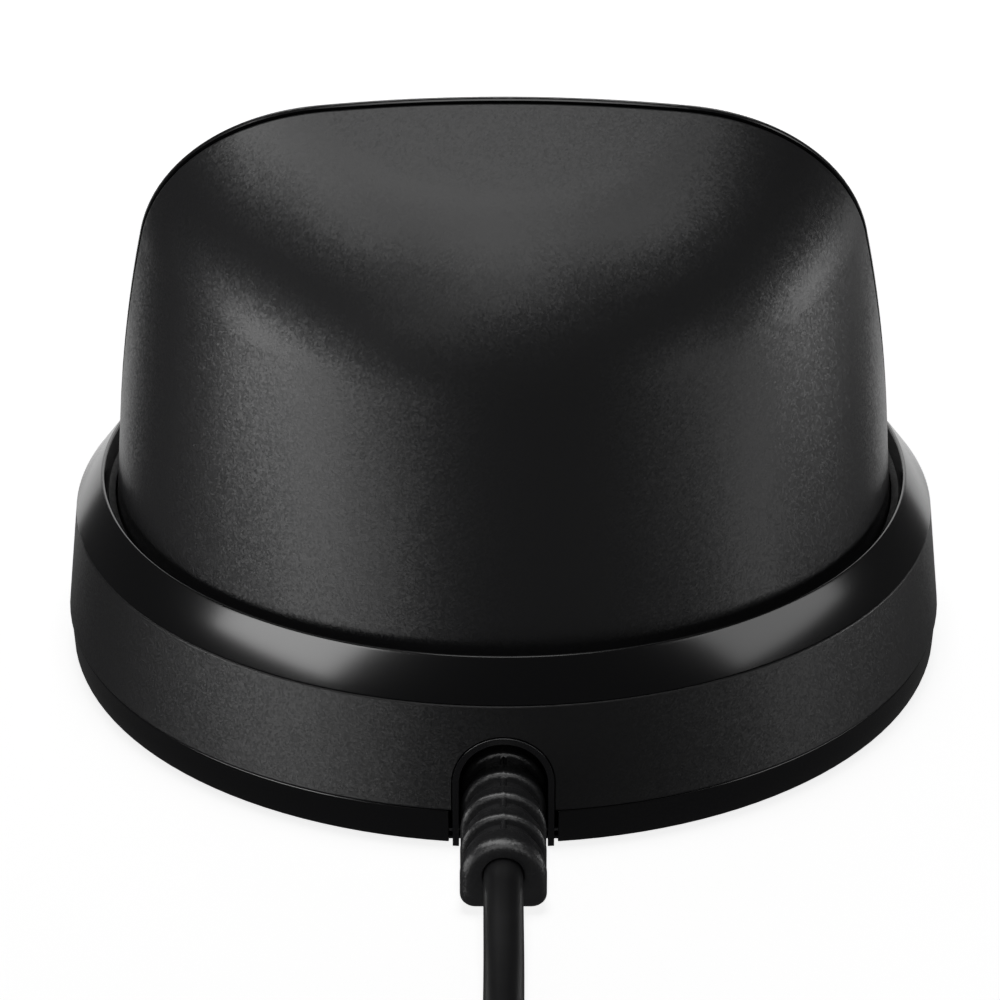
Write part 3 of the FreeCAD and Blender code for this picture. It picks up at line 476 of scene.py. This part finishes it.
def colour_between(tree, shader, pattern, first, second):
    """Lets a pattern mix a surface's colour from two sRGB hex colours."""
    mix = add(tree, "ShaderNodeMix", {"data_type": "RGBA"}, {"Factor": pattern})
    mix.inputs[6].default_value = linear(first)
    mix.inputs[7].default_value = linear(second)
    tree.links.new(mix.outputs[2], shader.inputs["Base Color"])


# Moulded silicone: dull black with a chalky bloom in soft patches.
silicone, tree, shader, at = finish_of("moulded_silicone", "1c1c1d", 0.75)
bloom = add(tree, "ShaderNodeTexNoise", {"Scale": 220.0, "Detail": 4.0}, {"Vector": at})
colour_between(tree, shader, bloom.outputs["Fac"], "18181a", "262628")
grain_of(tree, shader, bloom.outputs["Fac"], 0.02)
dress("rubber_foot", silicone)

# ---- Notch liner --------------------------------------------------------------------
# A thin arched liner in polished polycarbonate, pressed into the band's notch from the
# inside, with a web under the relief. Its front edge is rounded.
liner = piece_of("notch_liner", merged("cable_collar"), polished_pc, "cable_collar",
                 polished_pieces)
ribbed_pieces.objects.link(liner)
break_edges(liner, 0.12)

# ---- Rear shell ---------------------------------------------------------------------
# Rear half of the head: PC/ABS moulded in a tool that is bead-blasted fine, so it looks
# satin with a soft close grain about 0.15 mm across.
blasted_abs, tree, shader, at = finish_of("bead_blasted_abs", "131314", 0.3)
grain = add(tree, "ShaderNodeTexNoise", {"Scale": 5200.0, "Detail": 3.0, "Roughness": 0.75}, {"Vector": at})
gloss_between(tree, shader, grain.outputs["Fac"], 0.3, 0.42)
facets_of(tree, shader, at, 7200.0, 0.1)
dress("rear_shell", blasted_abs)

# ---- Front panel --------------------------------------------------------------------
# The leaning front of the head in black polycarbonate with a semi-gloss finish. Only its
# rounded lip shows from behind; in front it is dished, with a round pocket for the pad.
semi_gloss_pc, tree, shader, at = finish_of("semi_gloss_polycarbonate", "0a0a0b", 0.22, {"IOR": 1.58})
flow = add(tree, "ShaderNodeTexNoise", {"Scale": 300.0, "Detail": 2.0}, {"Vector": at})
gloss_between(tree, shader, flow.outputs["Fac"], 0.2, 0.26)
grain_of(tree, shader, flow.outputs["Fac"], 0.003)
dress("front_cradle", semi_gloss_pc, polished_pieces)

# ---- Charge pad ---------------------------------------------------------------------
# Flat disc of polycarbonate that a watch's back rests on, under a soft-touch lacquer
# that makes it matt and faintly velvety.
soft_touch, tree, shader, at = finish_of("soft_touch_lacquer", "1d1d1f", 0.6, {
    "Sheen Weight": 0.15, "Sheen Roughness": 0.5})
grain = add(tree, "ShaderNodeTexNoise", {"Scale": 5200.0, "Detail": 2.0}, {"Vector": at})
grain_of(tree, shader, grain.outputs["Fac"], 0.01)
dress("charge_pad", soft_touch)

# ---- Light pipe ---------------------------------------------------------------------
# Clear acrylic rod that carries the status light's glow through the deck, with its end
# left matt so that the light spreads.
acrylic, tree, shader, at = finish_of("frosted_acrylic", "e6ebee", 0.3, {"IOR": 1.49, "Transmission Weight": 0.7})
frost = add(tree, "ShaderNodeTexNoise", {"Scale": 6000.0}, {"Vector": at})
grain_of(tree, shader, frost.outputs["Fac"], 0.01)
dress("led_light_pipe", acrylic)

# ---- Plug ---------------------------------------------------------------------------
# USB-A plug: a TPE grip moulded over the lead, a folded nickel-plated shell with two
# latch windows, and a white liquid-crystal-polymer tongue with four gold-plated strips.
dress("plug_body", relief_tpe)

plated, tree, shader, at = finish_of("nickel_plated_sheet", "cfcac3", 0.24, {"Metallic": 1.0})
rolling = add(tree, "ShaderNodeMapping", {"Scale": (9000.0, 300.0, 9000.0)}, {"Vector": at})
lines = add(tree, "ShaderNodeTexNoise", {"Scale": 1.0, "Detail": 2.0}, {"Vector": rolling.outputs["Vector"]})
gloss_between(tree, shader, lines.outputs["Fac"], 0.18, 0.36)
grain_of(tree, shader, lines.outputs["Fac"], 0.002)
for node in ("plug_shell", "magnet_shield", "alignment_magnet"):
    dress(node, plated)

moulded_lcp, tree, shader, at = finish_of("moulded_lcp", "e2e0da", 0.45)
swirl = add(tree, "ShaderNodeTexNoise", {"Scale": 900.0, "Detail": 4.0, "Distortion": 0.6}, {"Vector": at})
colour_between(tree, shader, swirl.outputs["Fac"], "dcd9d1", "ebe9e4")
grain_of(tree, shader, swirl.outputs["Fac"], 0.004)
for node in ("plug_tongue", "status_led", "lead_connector", "coil_connector"):
    dress(node, moulded_lcp)

gold, tree, shader, at = finish_of("gold_plated_contact", "e2b65c", 0.22, {"Metallic": 1.0})
wear = add(tree, "ShaderNodeTexNoise", {"Scale": 2500.0, "Detail": 3.0}, {"Vector": at})
gloss_between(tree, shader, wear.outputs["Fac"], 0.15, 0.35)
dress("plug_contacts", gold)

# ---- Charging coil and ferrite ------------------------------------------------------
# Spiral of 0.4 mm enamelled copper wire on a sintered ferrite sheet, with the alignment
# magnet in the middle, behind the pad.
FACE_LEAN = math.radians(22.0)
WIRE_PITCH = 0.4
coil_low, coil_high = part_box("charging_coil")
coil_middle = (Vector(coil_low) + Vector(coil_high)) / 2
enamelled, tree, shader, at = finish_of("enamelled_copper", "b5652d", 0.3, {
    "Metallic": 1.0, "Coat Weight": 0.6, "Coat Roughness": 0.15})
flat = add(tree, "ShaderNodeMapping", {"vector_type": "TEXTURE", "Location": coil_middle,
                                       "Rotation": (FACE_LEAN - math.pi / 2, 0.0, 0.0)}, {"Vector": at})
# One ring a turn, used for the wire's bumps and for painted shade between the turns with a painted highlight on
# each turn's crown.
turn_relief_and_shade = add(tree, "ShaderNodeTexWave", {"wave_type": "RINGS", "rings_direction": "Z",
                                          "Scale": 2 * math.pi / (20 * WIRE_PITCH * MM)},
              {"Vector": flat.outputs["Vector"]})
# Painted shade and painted highlight: dark copper in the gaps between turns, bright copper on top of each turn.
colour_between(tree, shader, turn_relief_and_shade.outputs["Fac"], "6b3413", "c8763a")
grain_of(tree, shader, turn_relief_and_shade.outputs["Fac"], 0.12)
dress("charging_coil", enamelled)

sintered, tree, shader, at = finish_of("sintered_ferrite", "2b2b2e", 0.55, {"Specular IOR Level": 0.6})
pores = add(tree, "ShaderNodeTexVoronoi", {"Scale": 5000.0}, {"Vector": at})
grain_of(tree, shader, pores.outputs["Distance"], 0.02)
for node in ("ferrite_disc", "power_inductor"):
    dress(node, sintered)

# ---- Inner frame, bracket and clamp -------------------------------------------------
# Glass-filled nylon mouldings in natural black: dull, with short fibres near the skin.
filled_nylon, tree, shader, at = finish_of("glass_filled_nylon", "232325", 0.55)
fibres = add(tree, "ShaderNodeTexNoise", {"Scale": 1300.0, "Detail": 5.0, "Distortion": 1.5}, {"Vector": at})
colour_between(tree, shader, fibres.outputs["Fac"], "1e1e20", "303033")
grain_of(tree, shader, fibres.outputs["Fac"], 0.015)
for node in ("coil_bracket", "head_frame", "lead_clamp"):
    dress(node, filled_nylon)

# ---- Weight plate -------------------------------------------------------------------
# Stamped mild steel with blue zinc plating: faintly spangled and a little uneven. It
# lies in the base and keeps the dock from tipping.
zinc, tree, shader, at = finish_of("zinc_plated_steel", "b9bcc0", 0.38, {"Metallic": 1.0})
spangle = add(tree, "ShaderNodeTexVoronoi", {"Scale": 420.0}, {"Vector": at})
gloss_between(tree, shader, spangle.outputs["Distance"], 0.28, 0.5)
grain_of(tree, shader, spangle.outputs["Distance"], 0.01)
dress("weight_plate", zinc)

# ---- Circuit board ------------------------------------------------------------------
# Fibreglass board, 1 mm thick, under green solder mask; tracks show as raised bands
# 1.2 mm apart.
solder_mask, tree, shader, at = finish_of("solder_mask", "0f4a2c", 0.28, {"Coat Weight": 0.3})
tracks = add(tree, "ShaderNodeTexBrick", {
    "Scale": 1.0, "Brick Width": 0.006, "Row Height": 0.0012, "Mortar Size": 0.0002,
    "Color1": linear("0f4a2c"), "Color2": linear("12522f"), "Mortar": linear("0a3822")}, {"Vector": at})
tree.links.new(tracks.outputs["Color"], shader.inputs["Base Color"])
grain_of(tree, shader, tracks.outputs["Fac"], 0.035)
dress("main_board", solder_mask)

# Epoxy chip package, moulded with a fine grit.
epoxy, tree, shader, at = finish_of("moulded_epoxy", "18181a", 0.5)
grit = add(tree, "ShaderNodeTexNoise", {"Scale": 7000.0, "Detail": 2.0}, {"Vector": at})
grain_of(tree, shader, grit.outputs["Fac"], 0.01)
dress("charge_controller", epoxy)

# Chip capacitors: fired ceramic with tinned ends.
CAPACITOR_LENGTH = 3.2
capacitor_low, capacitor_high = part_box("resonance_capacitors")
fired, tree, shader, at = finish_of("fired_ceramic", "a98a6a", 0.4)
across = add(tree, "ShaderNodeSeparateXYZ", {}, {"Vector": at})
offset = add(tree, "ShaderNodeMath", {"operation": "SUBTRACT", 1: (capacitor_low[0] + capacitor_high[0]) / 2},
             {0: across.outputs["X"]})
distance = add(tree, "ShaderNodeMath", {"operation": "ABSOLUTE"}, {0: offset.outputs["Value"]})
tinned = add(tree, "ShaderNodeMath", {"operation": "GREATER_THAN", 1: CAPACITOR_LENGTH * 0.34 * MM},
             {0: distance.outputs["Value"]})
colour_between(tree, shader, tinned.outputs["Value"], "a98a6a", "c9cacb")
tree.links.new(tinned.outputs["Value"], shader.inputs["Metallic"])
dress("resonance_capacitors", fired)

# ---- Inner wires --------------------------------------------------------------------
# PVC-insulated conductors from the jacket and from the coil to the board.
dress("lead_inner", jacket_tpe)
insulation, tree, shader, at = finish_of("pvc_insulation", "a8201c", 0.4)
smear = add(tree, "ShaderNodeTexNoise", {"Scale": 1500.0, "Detail": 2.0}, {"Vector": at})
colour_between(tree, shader, smear.outputs["Fac"], "98191a", "b42a22")
grain_of(tree, shader, smear.outputs["Fac"], 0.006)
for node in ("lead_cores", "coil_leads"):
    dress(node, insulation)

# ---- Screws -------------------------------------------------------------------------
# Thread-forming pan-head screws in zinc-plated steel, dulled by the driver and the tray.
screw_steel, tree, shader, at = finish_of("plated_screw_steel", "8f9296", 0.35, {"Metallic": 1.0})
scuffs = add(tree, "ShaderNodeTexNoise", {"Scale": 2600.0, "Detail": 4.0}, {"Vector": at})
gloss_between(tree, shader, scuffs.outputs["Fac"], 0.25, 0.5)
grain_of(tree, shader, scuffs.outputs["Fac"], 0.006)
for node in ("coil_bracket_screws", "clamp_screws", "base_screws", "head_screws", "frame_screws", "board_screws"):
    dress(node, screw_steel)
